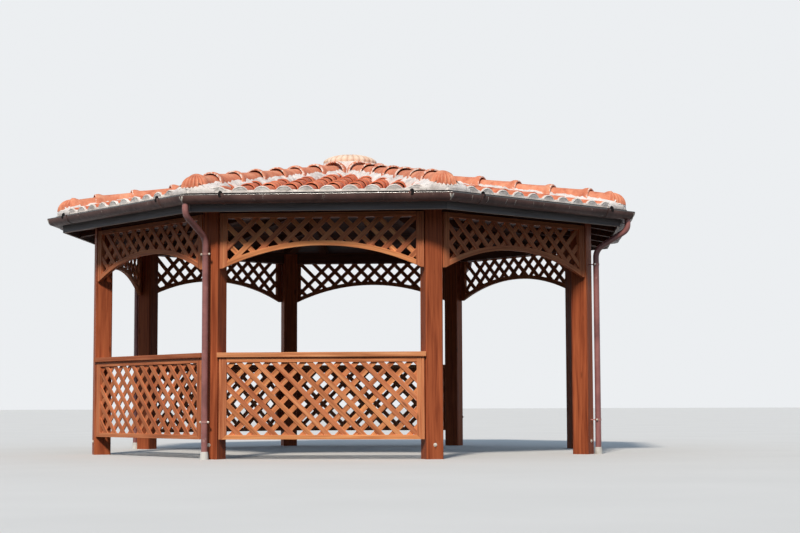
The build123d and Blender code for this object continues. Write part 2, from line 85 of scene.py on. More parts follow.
# Roof and rainwater goods, as in the part's source
ROOF_PITCH = 10.6
FASCIA_REACH = 2.894
FASCIA_THICKNESS = 0.025
TILE_OVERHANG = 0.06
GUTTER_RADIUS = 0.075
GUTTER_BEAD = 0.006
PIPE_RADIUS = 0.03
PIPE_STANDOFF = 0.078
NECK_DROP = 0.099
NECK_HEIGHT = 0.19
LOWER_HOLDER = 0.35
UPPER_HOLDER_DROP = 0.15

# Sizes worked out from these and from the frame
POST_RADIUS = POST_REACH / cos(HALF)
POST_FACE = POST_RADIUS + POST_WIDTH / 2
POST_EDGE = POST_REACH + POST_WIDTH / 2 * (cos(HALF) + sin(HALF))
FACE = POST_EDGE - PANEL_SETBACK
BACK = FACE - FRAME_THICKNESS
BAY_LENGTH = 2 * POST_REACH * tan(HALF)
RISE = tan(radians(ROOF_PITCH))
HIP_RISE = RISE * cos(HALF)
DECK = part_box("fascia_boards")[1][2] - FASCIA_THICKNESS * RISE
TILE_REACH = FASCIA_REACH + TILE_OVERHANG
GUTTER_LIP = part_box("gutter")[1][2] - GUTTER_BEAD
GUTTER_CENTRE = FASCIA_REACH + GUTTER_RADIUS
OUTLET = GUTTER_CENTRE / cos(HALF)
NECK_TOP = GUTTER_LIP - GUTTER_RADIUS - NECK_DROP
NECK_BOTTOM = NECK_TOP - NECK_HEIGHT
PIPE_AXIS = POST_FACE + PIPE_STANDOFF


def clear_half(reach):
    """Half the clear width between two posts at a reach."""
    along = POST_RADIUS * sin(HALF) + POST_WIDTH / 2 * (sin(HALF) - cos(HALF))
    return along - (POST_EDGE - reach) * tan(HALF)


PANEL_HALF = clear_half(BACK) - FIT_GAP
FIELD_HALF = PANEL_HALF - STILE_WIDTH


def deck_level(reach):
    """Top of the roof boarding at a reach."""
    return DECK + (FASCIA_REACH - reach) * RISE


def hip_level(r):
    """Top of the roof boarding above a corner line at a radius."""
    return DECK + (FASCIA_REACH / cos(HALF) - r) * HIP_RISE


def uneven(x, y, z):
    """Smooth unevenness, from -1 to 1."""
    return noise.noise(Vector((x, y, z)))


def jitter(size):
    return random.uniform(-size, size)


def spaced(start, end, parts):
    """Evenly spaced values, with both ends."""
    return [start + (end - start) * i / parts for i in range(parts + 1)]


def turns(count, shift=0.0):
    """Angles of points spaced round a circle."""
    return [2 * pi * (k + shift) / count for k in range(count)]


# Materials
def srgb(colour):
    """Linear colour from 0 to 255 values."""
    shares = (c / 255 for c in colour)
    return tuple(c / 12.92 if c <= 0.04045 else ((c + 0.055) / 1.055) ** 2.4 for c in shares) + (1.0,)


class Nodes:
    """Short calls that build a node tree."""

    def __init__(self, owner):
        owner.use_nodes = True
        self.owner = owner
        self.tree = owner.node_tree
        self.shader = self.tree.nodes.get("Principled BSDF")

    def put(self, socket, value):
        """Links a socket to another, or sets its value."""
        if isinstance(value, bpy.types.NodeSocket):
            self.tree.links.new(value, socket)
        else:
            socket.default_value = value

    def add(self, kind, inputs=None, **settings):
        node = self.tree.nodes.new(f"ShaderNode{kind}")
        for key, value in settings.items():
            setattr(node, key, value)
        for key, value in (inputs or {}).items():
            self.put(node.inputs[key], value)
        return node

    def math(self, operation, a, b=0.0):
        return self.add("Math", {0: a, 1: b}, operation=operation).outputs[0]

    def scaled(self, value, origin, scale):
        return self.math("MULTIPLY", self.math("SUBTRACT", value, origin), scale)

    def blend(self, a, b, share):
        """A share of one value and the rest of another."""
        return self.math("ADD", self.math("MULTIPLY", a, share), self.math("MULTIPLY", b, 1.0 - share))

    def noise(self, vector, scale, detail=3.0, rough=0.55, warp=0.0):
        inputs = {0: vector, "Scale": scale, "Detail": detail, "Roughness": rough, "Distortion": warp}
        return self.add("TexNoise", inputs).outputs["Fac"]

    def stretch(self, vector, x, y, z):
        return self.add("Mapping", {"Vector": vector, "Scale": (x, y, z)}).outputs["Vector"]

    def split(self, vector):
        return self.add("SeparateXYZ", {0: vector}).outputs

    def ramp(self, value, *stops):
        """Colours or greys at places from 0 to 1."""
        node = self.add("ValToRGB", {"Fac": value})
        marks = node.color_ramp.elements
        while len(marks) < len(stops):
            marks.new(0.5)
        for mark, (place, colour) in zip(marks, stops):
            mark.position = place
            mark.color = colour if isinstance(colour, tuple) else (colour, colour, colour, 1.0)
        return node.outputs["Color"]

    def mix(self, factor, a, b, blend="MIX"):
        inputs = {0: factor, 6: a, 7: b}
        return self.add("Mix", inputs, data_type="RGBA", blend_type=blend).outputs[2]

    def times(self, colour, by, factor=1.0):
        return self.mix(factor, colour, by, "MULTIPLY")

    def attribute(self, name, output="Fac"):
        return self.add("Attribute", attribute_name=name).outputs[output]

    def position(self):
        return self.add("TexCoord").outputs["Object"]

    def coat(self, colour, roughness, specular, relief, strength, depth, metallic=0.0):
        bump = self.add("Bump", {"Height": relief, "Strength": strength, "Distance": depth})
        values = {
            "Base Color": colour, "Roughness": roughness, "Specular IOR Level": specular,
            "Metallic": metallic, "Normal": bump.outputs["Normal"],
        }
        for name, value in values.items():
            self.put(self.shader.inputs[name], value)
        return self.owner

    def by_ray(self, seen, other, output):
        """One shader for the rays that see the studio, another for the rest."""
        ray = self.add("LightPath").outputs
        sees = self.math("MAXIMUM", ray["Is Camera Ray"], ray["Is Glossy Ray"])
        sees = self.math("MAXIMUM", sees, ray["Is Transmission Ray"])
        mixer = self.add("MixShader", {0: sees, 1: other.outputs[0], 2: seen.outputs[0]})
        self.put(self.tree.nodes[output].inputs["Surface"], mixer.outputs[0])


def new_material(name):
    return Nodes(bpy.data.materials.new(name))


def upright_axes(n):
    """Position turned so that X runs up."""
    x, y, z = n.split(n.position())
    return n.add("CombineXYZ", {0: z, 1: x, 2: y}).outputs[0]


def round_axes(n, corner=False):
    """Position turned so that X runs along its bay, or out along its corner."""
    place = n.position()
    x, y, _ = n.split(place)
    step = n.math("DIVIDE", n.math("ARCTAN2", y, x), TURN)
    if corner:
        step = n.math("ROUND", n.math("SUBTRACT", step, 0.5))
        step = n.math("ADD", step, 0.5)
    else:
        step = n.math("ADD", n.math("ROUND", step), 2.0)
    inputs = {"Vector": place, "Angle": n.math("MULTIPLY", step, -TURN)}
    return n.add("VectorRotate", inputs, rotation_type="Z_AXIS").outputs[0]


def weathered(n, colour):
    """Each slat's own tone, from dark red to pale, and its lighter edges, which are wear and a painted
    highlight.
    """
    tone = n.ramp(
        n.attribute("tint"),
        (0.0, (0.78, 0.64, 0.62, 1.0)), (0.35, (1.0, 0.92, 0.92, 1.0)),
        (0.7, (1.05, 1.06, 0.96, 1.0)), (1.0, (1.24, 1.3, 1.14, 1.0)),
    )
    colour = n.times(colour, tone, 0.9)
    # Lighter edges: wear, and a painted highlight along each edge.
    worn = n.ramp(n.math("ABSOLUTE", n.attribute("dust")), (0.74, 0.0), (0.96, 0.75))
    return n.mix(worn, colour, n.times(colour, (1.3, 1.3, 1.34, 1.0)))


def planked(n, colour, relief, across, width):
    """Seams between boards of a width, and a tone for each board."""
    row = n.math("DIVIDE", across, width)
    edge = n.math("ABSOLUTE", n.math("SUBTRACT", n.math("FRACT", row), 0.5))
    seam = n.ramp(edge, (0.462, 1.0), (0.48, 0.12))
    board = n.add("TexWhiteNoise", {"W": n.math("FLOOR", row)}, noise_dimensions="1D")
    tone = n.ramp(board.outputs["Value"], (0.0, 0.7), (1.0, 1.15))
    colour = n.times(n.times(colour, seam), tone, 0.8)
    return colour, n.math("ADD", relief, n.math("MULTIPLY", seam, 0.6))


def wood(name, light, mid, dark, axes, gloss, knots=True, planks=0.0, painted_left_shade=False, painted_sunlit_foot=0.0):
    """Stained pine: long streaks along X of its axes, a few knots, worn and faded patches."""
    n = new_material(name)
    if axes == "attribute":
        vector = n.attribute("grain", "Vector")
    elif axes == "upright":
        vector = upright_axes(n)
    else:
        vector = round_axes(n, axes == "corner")
    streaks = n.noise(n.stretch(vector, 1.6, 46.0, 46.0), 1.0, 4.0, 0.6, 0.25)
    rings = n.noise(n.stretch(vector, 0.9, 13.0, 13.0), 1.3, 2.0, 0.5, 1.4)
    fine = n.noise(n.stretch(vector, 9.0, 420.0, 420.0), 1.0, 2.0, 0.6)
    patches = n.noise(n.stretch(vector, 1.3, 3.0, 3.0), 1.0, 2.0, 0.5)
    figure = n.blend(streaks, rings, 0.62)
    colour = n.ramp(figure, (0.34, srgb(dark)), (0.5, srgb(mid)), (0.68, srgb(light)))
    colour = n.times(colour, n.ramp(patches, (0.3, 0.72), (0.7, 1.12)), 0.55)
    relief = n.blend(streaks, fine, 0.7)
    if knots:
        cells = n.add("TexVoronoi", {"Vector": n.stretch(vector, 2.4, 9.0, 9.0), "Scale": 1.0})
        colour = n.times(colour, n.ramp(cells.outputs["Distance"], (0.05, 0.35), (0.13, 1.0)), 0.75)
    if axes == "attribute":
        colour = weathered(n, colour)
    if planks:
        colour, relief = planked(n, colour, relief, n.split(vector)[1], planks)
    # Darker, redder handrails on the left side: painted shade for the raking light there.
    if painted_left_shade:
        left = n.scaled(n.split(n.position())[0], -1.1, 10.0)
        colour = n.times(colour, n.ramp(left, (0.2, (0.62, 0.46, 0.46, 1.0)), (0.9, 1.0)))
    # Lighter band along the board's foot: painted sunlight below the gutter's shadow.
    if painted_sunlit_foot:
        above = n.scaled(n.split(n.position())[2], painted_sunlit_foot, 100.0)
        colour = n.mix(n.ramp(above, (0.4, 1.0), (0.8, 0.0)), colour, srgb((168, 150, 138)))
    roughness = n.ramp(streaks, (0.3, gloss - 0.1), (0.7, gloss + 0.12))
    return n.coat(colour, roughness, 0.14, relief, 0.35, 0.002)


def clay(name, light, mid, dark, dust):
    """Fired clay: mottled, a little burnt in places, with mortar smears where the piece is bedded."""
    n = new_material(name)
    place = n.position()
    blotches = n.noise(place, 9.0, 4.0, 0.6, 0.4)
    grit = n.noise(place, 160.0, 3.0, 0.6)
    stain = n.noise(place, 3.1)
    colour = n.ramp(blotches, (0.3, srgb(dark)), (0.5, srgb(mid)), (0.7, srgb(light)))
    kiln = n.ramp(
        n.attribute("tint"),
        (0.0, (0.66, 0.52, 0.48, 1.0)), (0.35, (0.93, 0.86, 0.82, 1.0)),
        (0.7, 1.0), (1.0, (1.1, 1.16, 1.16, 1.0)),
    )
    colour = n.times(colour, kiln, 0.85)
    colour = n.times(colour, n.ramp(stain, (0.42, 1.0), (0.62, 0.78)), 0.6)
    ragged = n.math("ADD", n.attribute("dust"), n.scaled(n.noise(place, 34.0), 0.5, 0.9))
    smear = n.ramp(ragged, (0.5, 0.0), (0.62, 1.0))
    specks = n.ramp(n.noise(place, 60.0, 2.0), (0.66, 0.0), (0.72, 0.55))
    colour = n.mix(n.math("MAXIMUM", smear, n.math("MULTIPLY", specks, 0.6)), colour, srgb(dust))
    roughness = n.ramp(blotches, (0.3, 0.72), (0.7, 0.92))
    return n.coat(colour, roughness, 0.3, n.blend(grit, blotches, 0.4), 0.45, 0.004)


def mortar(name, light, mid, dark):
    """Lime mortar: pale, grainy, damp and dirty in patches."""
    n = new_material(name)
    place = n.position()
    patches = n.noise(place, 6.0, 4.0, 0.6, 0.3)
    grains = n.noise(place, 120.0, 4.0, 0.7)
    lumps = n.noise(place, 28.0, 3.0, 0.6)
    colour = n.ramp(patches, (0.32, srgb(dark)), (0.5, srgb(mid)), (0.68, srgb(light)))
    colour = n.times(colour, n.ramp(grains, (0.36, 0.68), (0.6, 1.06)), 0.6)
    colour = n.times(colour, n.ramp(lumps, (0.3, 0.55), (0.43, 1.0)), 0.7)
    damp = n.ramp(
        n.attribute("tint"),
        (0.0, (0.70, 0.72, 0.73, 1.0)), (0.5, (0.97, 0.97, 0.98, 1.0)), (1.0, (1.1, 1.09, 1.08, 1.0)),
    )
    roughness = n.ramp(grains, (0.3, 0.82), (0.7, 0.97))
    return n.coat(n.times(colour, damp), roughness, 0.25, n.blend(lumps, grains, 0.7), 0.8, 0.009)


def metal_paint(name, light, mid, dark, gloss, metallic=0.0, dirt=None, specular=0.5):
    """Lacquered sheet: even colour with dust, water marks and a slightly uneven gloss."""
    n = new_material(name)
    place = n.position()
    patches = n.noise(place, 4.0, 4.0, 0.6, 0.5)
    runs = n.noise(n.stretch(place, 30.0, 30.0, 2.5), 1.0, 3.0, 0.6)
    fine = n.noise(place, 210.0, 2.0)
    colour = n.ramp(patches, (0.3, srgb(dark)), (0.5, srgb(mid)), (0.7, srgb(light)))
    colour = n.times(colour, n.ramp(runs, (0.45, 1.0), (0.75, 0.72)), 0.5)
    if dirt:
        dusty = n.ramp(n.noise(place, 17.0, 4.0, 0.65), (0.62, 0.0), (0.74, 0.6))
        colour = n.mix(dusty, colour, srgb(dirt))
    roughness = n.ramp(runs, (0.3, gloss - 0.08), (0.7, gloss + 0.15))
    return n.coat(colour, roughness, specular, fine, 0.12, 0.0006, metallic)


FASCIA_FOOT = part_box("fascia_boards")[0][2]
post_wood = wood("post_wood", (192, 106, 66), (166, 86, 53), (124, 58, 35), "upright", 0.55)
beam_wood = wood("beam_wood", (110, 66, 46), (88, 52, 37), (62, 36, 26), "bay", 0.65)
board_wood = wood("board_wood", (120, 74, 50), (96, 58, 41), (66, 39, 28), "bay", 0.65, planks=0.12)
rafter_wood = wood("rafter_wood", (114, 68, 46), (92, 54, 38), (64, 37, 27), "corner", 0.65)
# The handrails are darker on the left side: painted shade.
rail_wood = wood("rail_wood", (238, 172, 124), (214, 142, 96), (168, 98, 60), "bay", 0.55, painted_left_shade=True)
slat_wood = wood("slat_wood", (230, 162, 114), (204, 130, 88), (160, 92, 60), "attribute", 0.55)
# Greyer than the other wood: painted cool shade over its brown stain.
fascia_wood = wood(
    "fascia_wood", (148, 143, 142), (133, 129, 129), (110, 105, 105), "bay", 0.5,
    knots=False, painted_sunlit_foot=FASCIA_FOOT,
)
tile_clay = clay("tile_clay", (238, 158, 122), (222, 128, 92), (188, 92, 64), (226, 216, 208))
ridge_clay = clay("ridge_clay", (240, 172, 138), (226, 146, 114), (200, 116, 86), (240, 226, 216))
cap_clay = clay("cap_clay", (246, 230, 213), (240, 213, 190), (226, 178, 152), (232, 226, 214))
lime = mortar("lime_mortar", (250, 246, 242), (238, 232, 228), (206, 198, 193))
gutter_paint = metal_paint(
    "gutter_paint", (116, 88, 82), (95, 71, 67), (70, 51, 48), 0.4, dirt=(146, 130, 122), specular=0.22,
)
# Near-black rolled edge, darker than the gutter's paint: painted shade; its gloss gives the highlight.
shaded_bead_paint = metal_paint("shaded_bead_paint", (50, 43, 42), (40, 34, 34), (28, 24, 24), 0.15, specular=1.0)
bracket_paint = metal_paint("bracket_paint", (28, 26, 27), (22, 20, 21), (16, 14, 15), 0.7, specular=0.1)
pipe_paint = metal_paint(
    "pipe_paint", (170, 114, 110), (152, 98, 95), (124, 78, 76), 0.3, dirt=(184, 146, 140),
)
band_paint = metal_paint("band_paint", (196, 144, 138), (176, 122, 117), (142, 98, 94), 0.34)
bolt_zinc = metal_paint("bolt_zinc", (240, 236, 226), (224, 218, 206), (186, 176, 162), 0.42, metallic=0.25)
streak_lime = metal_paint("streak_lime", (242, 238, 230), (226, 220, 210), (186, 178, 166), 0.7)
socket_white = metal_paint("socket_white", (236, 235, 230), (222, 221, 216), (190, 186, 178), 0.5)


# Pieces
def place_bay(n):
    """Turns (along, height, reach) of a bay into a point."""
    turn = Matrix.Rotation(TURN * n, 3, "Z")
    return lambda u, v, d: turn @ Vector((u, -d, v))


def place_corner(n):
    """Turns (radius, across, height) at the corner to the right of bay n into a point."""
    turn = Matrix.Rotation(TURN * n + HALF - pi / 2, 3, "Z")
    return lambda r, t, z: turn @ Vector((r, t, z))


def new_object(name, data):
    thing = bpy.data.objects.new(name, data)
    bpy.context.collection.objects.link(thing)
    return thing


def wear_edges(piece, width):
    rounded = piece.modifiers.new("worn_edges", "BEVEL")
    rounded.width = width
    rounded.segments = 2
    rounded.limit_method = "ANGLE"
    rounded.angle_limit = radians(35)


class Piece:
    """A mesh in the axes of a bay or corner, with tint, dust and grain on its points."""

    def __init__(self, place=lambda x, y, z: (x, y, z), painted_shade_scale=1.0):
        self.place = place
        self.painted_shade_scale = painted_shade_scale
        self.points = []
        self.faces = []
        self.tint = []
        self.dust = []
        self.grain = []

    def point(self, at, tint=0.5, dust=0.0, grain=(0.0, 0.0, 0.0)):
        self.points.append(tuple(self.place(*at)))
        # A scale below 1 makes every tint darker and redder: painted shade.
        self.tint.append(tint * self.painted_shade_scale)
        self.dust.append(dust)
        self.grain.extend(grain)
        return len(self.points) - 1

    def face(self, *corners):
        self.faces.append(corners)

    def skin(self, rows, closed=False):
        """Faces between rows of points; a closed row meets its own start."""
        for a, b in zip(rows, rows[1:]):
            for i in range(len(a) if closed else len(a) - 1):
                j = (i + 1) % len(a)
                self.face(a[i], a[j], b[j], b[i])

    def slab(self, front, back):
        """Two outlines and the sides between them."""
        self.face(*front)
        self.face(*reversed(back))
        for i in range(len(front)):
            j = (i + 1) % len(front)
            self.face(front[j], front[i], back[i], back[j])

    def shell(self, rows):
        """Outside, inside and mouth of a tile; each row holds an outer arc and then an inner one."""
        n = len(rows[0]) // 2
        self.skin([row[:n] for row in rows])
        self.skin([row[n:][::-1] for row in rows])
        self.skin([rows[0][:n], rows[0][n:]])

    def finish(self, name, material, replaced=(), bevel=0.0, smooth=None, weld=False):
        mesh = bpy.data.meshes.new(name)
        mesh.from_pydata(self.points, [], self.faces)
        mesh.attributes.new("grain", "FLOAT_VECTOR", "POINT").data.foreach_set("vector", self.grain)
        mesh.attributes.new("tint", "FLOAT", "POINT").data.foreach_set("value", self.tint)
        mesh.attributes.new("dust", "FLOAT", "POINT").data.foreach_set("value", self.dust)
        bm = bmesh.new()
        bm.from_mesh(mesh)
        if weld:
            bmesh.ops.remove_doubles(bm, verts=bm.verts, dist=0.00005)
        bmesh.ops.recalc_face_normals(bm, faces=bm.faces)
        bm.to_mesh(mesh)
        bm.free()
        mesh.materials.append(material)
        piece = new_object(name, mesh)
        if bevel:
            wear_edges(piece, bevel)
        if smooth is not None:
            mesh.shade_smooth()
            mesh.set_sharp_from_angle(angle=radians(smooth))
        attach(piece, "root")
        if replaced:
            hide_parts(*replaced)
        return piece


# Lattice panels
SLAT_BITE = 0.008
SLAT_JITTER = 0.0015
SAW_JITTER = 0.0006
FARTHEST_SLAT = 24
UNCUT_LENGTH = 4.0
MITRE_INSET = 0.0275
ARCH_PARTS = 36
PANEL_BEVEL = 0.0016


def clip(outline, px, pz, nx, nz):
    """Keeps the part of a convex outline on the side of a line that its normal points to."""
    kept = []
    for i, (x0, z0) in enumerate(outline):
        x1, z1 = outline[(i + 1) % len(outline)]
        a = (x0 - px) * nx + (z0 - pz) * nz
        b = (x1 - px) * nx + (z1 - pz) * nz
        if a >= 0:
            kept.append((x0, z0))
        if a * b < 0:
            t = a / (a - b)
            kept.append((x0 + (x1 - x0) * t, z0 + (z1 - z0) * t))
    return kept


def arc_level(arc, x):
    """Level at x of an arc, which is given by its centre's level and its radius."""
    centre, radius = arc
    return centre + sqrt(max(radius * radius - x * x, 0.01))


def add_board(piece, outline, outer, depth, direction, tint=None):
    """Board with an outline in elevation, from an outer reach inwards, with its grain in a direction."""
    tint = random.uniform(0.15, 0.95) if tint is None else tint
    shift = (random.uniform(0, 40), random.uniform(0, 9), random.uniform(0, 9))
    dx, dz = direction
    across = [z * dx - x * dz for x, z in outline]
    middle = (max(across) + min(across)) / 2
    half = max((max(across) - min(across)) / 2, 0.001)
    sides = []
    for reach in (outer, outer - depth):
        side = []
        for (x, z), v in zip(outline, across):
            grain = (x * dx + z * dz + shift[0], v + shift[1], reach + shift[2])
            # The place across the board is kept as its dust, which lightens its edges: wear and a painted
            # highlight.
            side.append(piece.point((x, z, reach), tint, (v - middle) / half, grain))
        sides.append(side)
    piece.slab(*sides)


def add_slats(piece, low, high, start, slope, face, tints, arc=None):
    """One layer of slats at 45 degrees, cut to the panel's field and to the arch under it."""
    start_x, start_z = start
    d = (sqrt(0.5), slope * sqrt(0.5))
    across = (-d[1], d[0])
    half = FIELD_HALF + SLAT_BITE
    for k in range(-FARTHEST_SLAT, FARTHEST_SLAT + 1):
        x = start_x + k * SLAT_SPACING + jitter(SLAT_JITTER)
        width = SLAT_WIDTH / 2 + jitter(SAW_JITTER)
        strip = []
        for end, side in ((-1, -1), (1, -1), (1, 1), (-1, 1)):
            along, aside = end * UNCUT_LENGTH, side * width
            strip.append((x + d[0] * along + across[0] * aside, start_z + d[1] * along + across[1] * aside))
        strip = clip(strip, -half, 0, 1, 0)
        strip = clip(strip, half, 0, -1, 0)
        strip = clip(strip, 0, low, 0, 1)
        strip = clip(strip, 0, high, 0, -1)
        if len(strip) < 3:
            continue
        if arc:
            centre, radius = arc
            foot = x
            for _ in range(20):
                foot = x + (arc_level(arc, foot) - start_z) * slope
            level = arc_level(arc, foot)
            strip = clip(strip, foot, level, foot / radius, (level - centre) / radius)
        if len(strip) >= 3:
            lean = jitter(SAW_JITTER)
            add_board(piece, strip, face + lean, SLAT_THICKNESS, d, random.uniform(*tints))


def add_lattice(piece, low, high, start, slope, arc=None):
    """Two crossed layers of slats, the outer one with a slope of 1 or -1."""
    face = FACE - SLAT_RECESS
    # The inner layer gets lighter tints than the outer one: painted light.
    add_slats(piece, low, high, start, slope, face, (0.1, 0.7), arc)
    add_slats(piece, low, high, start, -slope, face - SLAT_THICKNESS, (0.5, 1.0), arc)


def add_stiles(piece, high, foot):
    """Both side members of a panel: a fixing strip and a stile with a groove between them."""
    groove = PANEL_HALF - GROOVE_OFFSET
    outside, inside = groove + GROOVE_WIDTH / 2, groove - GROOVE_WIDTH / 2
    for side in (-1, 1):
        for x0, x1, depth in (
            (PANEL_HALF, outside, 0.0),
            (outside, inside, GROOVE_DEPTH),
            (inside, FIELD_HALF, 0.0),
        ):
            outline = [(side * x0, foot(x0)), (side * x0, high), (side * x1, high), (side * x1, foot(x1))]
            tint = random.uniform(0.1, 0.5)
            add_board(piece, outline, FACE - depth, FRAME_THICKNESS - depth, (0, 1), tint)


def add_rail(piece, low, high, tint=None, low_half=FIELD_HALF):
    """Straight rail between the stiles, longer at its lower edge where it is mitred."""
    outline = [(-low_half, low), (low_half, low), (FIELD_HALF, high), (-FIELD_HALF, high)]
    add_board(piece, outline, FACE, FRAME_THICKNESS, (1, 0), tint)


def add_arch(piece, lower, upper):
    """Curved rail between two arcs."""
    shift = random.uniform(0, 30)
    radius = lower[1]
    turned = ARCH_WIDTH + FRAME_THICKNESS
    rings = []
    for x in spaced(-FIELD_HALF, FIELD_HALF, ARCH_PARTS):
        low, high = arc_level(lower, x), arc_level(upper, x)
        along = radius * asin(x / radius) + shift
        ring = []
        for z, reach, girth, edge in (
            (low, FACE, 0.0, -1.0),
            (high, FACE, ARCH_WIDTH, 1.0),
            (high, BACK, turned, 1.0),
            (low, BACK, turned + ARCH_WIDTH, -1.0),
        ):
            ring.append(piece.point((x, z, reach), 0.9, edge, (along, girth + shift, 3.0)))
        rings.append(ring)
    piece.skin(rings, closed=True)
    piece.face(*reversed(rings[0]))
    piece.face(*rings[-1])


def painted_bay_shade(n):
    """The front bay's panels keep their tones; the others get darker, redder tints as painted shade for the
    raking light on them.
    """
    return 1.0 if n == 0 else 0.3


def add_railing(n):
    piece = Piece(place_bay(n), painted_bay_shade(n))
    low, high = RAILING_BOTTOM + RAILING_BOTTOM_RAIL, RAILING_TOP - RAILING_TOP_RAIL
    mitre = PANEL_HALF - MITRE_INSET

    def foot(x):
        return RAILING_BOTTOM + RAILING_BOTTOM_RAIL * max(0.0, (mitre - x) / (mitre - FIELD_HALF))

    add_stiles(piece, RAILING_TOP, foot)
    add_rail(piece, RAILING_BOTTOM, low, 0.95, mitre)
    add_rail(piece, high, RAILING_TOP, 0.6)
    start = (RAILING_PHASE_X - FIELD_HALF + SLAT_SPACING / 2, high - RAILING_PHASE_Z)
    add_lattice(piece, low - SLAT_BITE, high + SLAT_BITE, start, -1)
    name = BAYS[n]
    piece.finish(f"lattice_railing_{name}", slat_wood, [f"railing_{name}"], bevel=PANEL_BEVEL)


def add_valance(n):
    piece = Piece(place_bay(n), painted_bay_shade(n))
    chord = PANEL_HALF - ARCH_FOOT
    radius = (chord * chord + ARCH_RISE * ARCH_RISE) / (2 * ARCH_RISE)
    centre = VALANCE_BOTTOM + ARCH_RISE - radius
    lower, upper = (centre, radius), (centre, radius + ARCH_WIDTH)

    def foot(x):
        return max(VALANCE_BOTTOM, arc_level(lower, x))

    add_stiles(piece, VALANCE_TOP, foot)
    add_rail(piece, BEAM_BOTTOM, VALANCE_TOP)
    add_arch(piece, lower, upper)
    start = (VALANCE_PHASE_X - FIELD_HALF + SLAT_SPACING / 2, BEAM_BOTTOM - VALANCE_PHASE_Z)
    slope = 1 if n % 2 == 0 else -1
    arc = (centre, upper[1] - SLAT_BITE)
    add_lattice(piece, VALANCE_BOTTOM, BEAM_BOTTOM + SLAT_BITE, start, slope, arc)
    name = BAYS[n]
    piece.finish(f"lattice_valance_{name}", slat_wood, [f"valance_{name}"], bevel=PANEL_BEVEL)


for bay in range(SIDES):
    add_valance(bay)
    if BAYS[bay] in RAILED:
        add_railing(bay)


# Tiles of one slope
TILE_LENGTH = 0.45
TILE_THICKNESS = 0.01
TILE_STEPS = 10
TILE_SLIDE = 0.004
EXPOSURE = 0.4
PITCH_COSINE = 0.983
COVER_SPACING = 0.206
COVER_WIDTH = 0.164
CROWN = 0.07
COVER_BED = 0.033
COURSE_LIFT = 0.008
MOUTH_LIFT = 0.009
PAN_WIDTH = 0.165
PAN_DEPTH = 0.042
PAN_BED = 0.014
PAN_BACK = 0.014
TILES_ASIDE = 8
MOUTH_DUST = 0.34
EAVE_DUST = 0.95
BARREL_ROWS = ((0.0, 1.0), (0.012, 0.66), (0.034, 0.0), (TILE_LENGTH / 2, 0.0), (TILE_LENGTH, 0.0))
HIP_CUT = 0.004
APEX_CUT = 0.12


def random_tint(middle, spread):
    return min(max(random.gauss(middle, spread), 0), 1)


def add_barrel(piece, u, reach, width, crown, base, pan, tint, dust=MOUTH_DUST):
    """One half-barrel tile: a cover with its wide end towards the eave, or a pan the other way up."""
    yaw = jitter(0.02)
    drop = jitter(0.003)
    rows = []
    for along, dusty in BARREL_ROWS:
        share = along / TILE_LENGTH
        w = width * (0.84 + 0.16 * share if pan else 1 - 0.2 * share)
        h = crown * (1 - 0.11 * share)
        r = reach - along * PITCH_COSINE
        bottom = deck_level(r) + base + MOUTH_LIFT * (1 - share) + drop
        row = []
        for inset in (0.0, TILE_THICKNESS):
            for a in spaced(0.0, pi, TILE_STEPS):
                x = cos(a) * (w / 2 - inset)
                z = sin(a) * (h - inset)
                at = (u + x + yaw * along, bottom + (h - z if pan else z), r)
                row.append(piece.point(at, tint, dust * dusty))
        rows.append(row)
    piece.shell(rows)


def tile_places(first, half):
    """Places of tiles along a course, as far as a half width."""
    places = [first + k * COVER_SPACING for k in range(-TILES_ASIDE, TILES_ASIDE + 1)]
    return [u for u in places if abs(u) < half]


def cut(bm, point, normal, **cleared):
    """Cuts a mesh by a plane and clears its outer or inner side."""
    parts = bm.verts[:] + bm.edges[:] + bm.faces[:]
    bmesh.ops.bisect_plane(bm, geom=parts, dist=0.00001, plane_co=point, plane_no=normal, **cleared)


def cut_to_slope(piece, n):
    """Cuts a slope's mesh along both hip lines and round the apex."""
    bm = bmesh.new()
    bm.from_mesh(piece.data)
    middle = TURN * n - pi / 2
    for side in (-1, 1):
        angle = middle + side * HALF
        outward = Vector((-sin(angle), cos(angle), 0)) * side
        cut(bm, outward * -HIP_CUT, outward, clear_outer=True)
    towards_eave = Vector((cos(middle), sin(middle), 0))
    cut(bm, towards_eave * APEX_CUT, towards_eave, clear_inner=True)
    bm.to_mesh(piece.data)
    bm.free()


def add_slope(n):
    covers = Piece(place_bay(n))
    pans = Piece(place_bay(n))
    eave = TILE_REACH - 0.003
    for row in range(int((eave - 0.2) / EXPOSURE) + 1):
        reach = eave - row * EXPOSURE
        half = reach * tan(HALF) + 0.1
        bed = COVER_BED + (COURSE_LIFT if row else 0.0)
        start = reach - (0.0 if row else PAN_BACK)
        dust = MOUTH_DUST if row else EAVE_DUST
        for u in tile_places(COVER_SPACING / 2, half):
            tint = random_tint(0.55, 0.24)
            add_barrel(covers, u + jitter(TILE_SLIDE), reach, COVER_WIDTH, CROWN, bed, False, tint, dust)
        for u in tile_places(0.0, half):
            tint = random_tint(0.4, 0.22)
            add_barrel(pans, u + jitter(TILE_SLIDE), start, PAN_WIDTH, PAN_DEPTH, PAN_BED, True, tint)
    name = BAYS[n]
    top = covers.finish(f"cover_tiles_{name}", tile_clay, [f"roof_tiles_{name}"], smooth=40)
    under = pans.finish(f"pan_tiles_{name}", tile_clay, smooth=40)
    cut_to_slope(top, n)
    cut_to_slope(under, n)


for bay in range(SIDES):
    add_slope(bay)


# Mortar under the eaves tiles
EAVE_PARTS = 260
MORTAR_LINE = 0.072
CORNER_FILL = 0.026
CORNER_FILL_LENGTH = 0.42
PLUG_BULGE = 0.005


